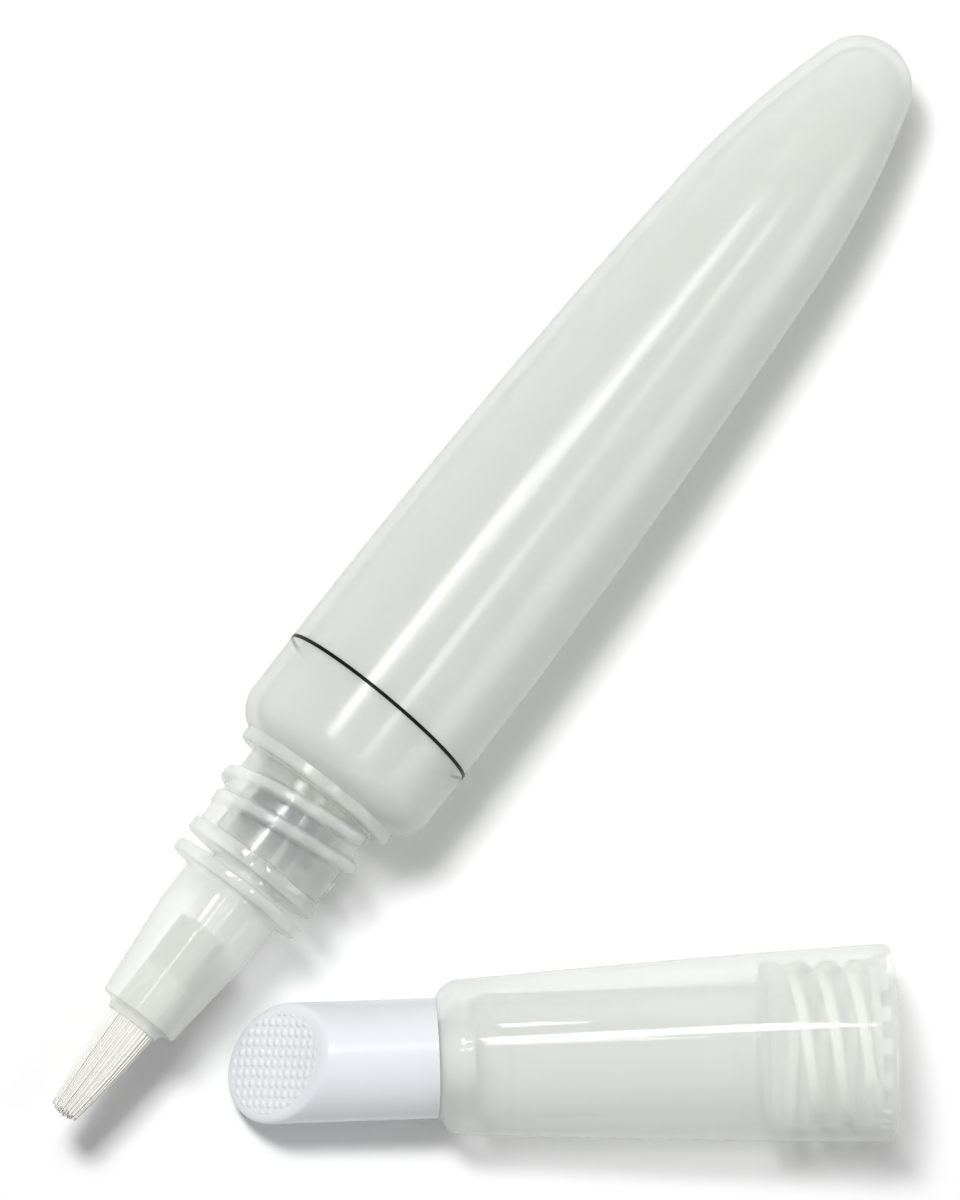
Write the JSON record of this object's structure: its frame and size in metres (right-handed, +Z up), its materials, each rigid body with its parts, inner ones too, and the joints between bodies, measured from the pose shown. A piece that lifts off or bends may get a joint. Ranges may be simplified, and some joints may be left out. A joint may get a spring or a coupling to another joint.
{
  "type": "nail oil pen",
  "caption": "Bullet-shaped squeeze pen with a brush nozzle on a screw neck, and its tapered screw cap ending in a slanted, studded cuticle pusher, laid beside it.",
  "frame": {"origin": "on the surface that the pen and its cap lie on, under the centre of their common box", "axes": "+Z up; +X the way the cap's mouth faces, seen from above; the pen's closed end points 50 degrees round from +X towards +Y"},
  "size_m": [0.0718, 0.0884, 0.0176],
  "materials": {
    "natural_polyethylene": "milky translucent, satin gloss",
    "natural_polypropylene": "milky translucent, glossy",
    "grey_polyethylene": "satin",
    "clear_sleeve": "clear",
    "white_filament": "nylon filaments",
    "oil": "clear liquid",
    "white_elastomer": "satin white"
  },
  "bodies": {
    "pen": {"squeeze_barrel": "natural_polyethylene", "brush_nozzle": "natural_polypropylene", "flow_reducer": "grey_polyethylene", "brush_ferrule": "clear_sleeve", "bristles": "white_filament", "oil_fill": "oil"},
    "cap": {"cap_shell": "natural_polypropylene", "cuticle_pusher": "white_elastomer"}
  },
  "joints": [
    {"name": "cap_turn", "type": "hinge", "parent": "pen", "child": "cap", "pos_m": [0.03191, -0.0362, 0.00794], "axis": [0.9987, 0, 0.0513], "continuous": true}
  ]
}
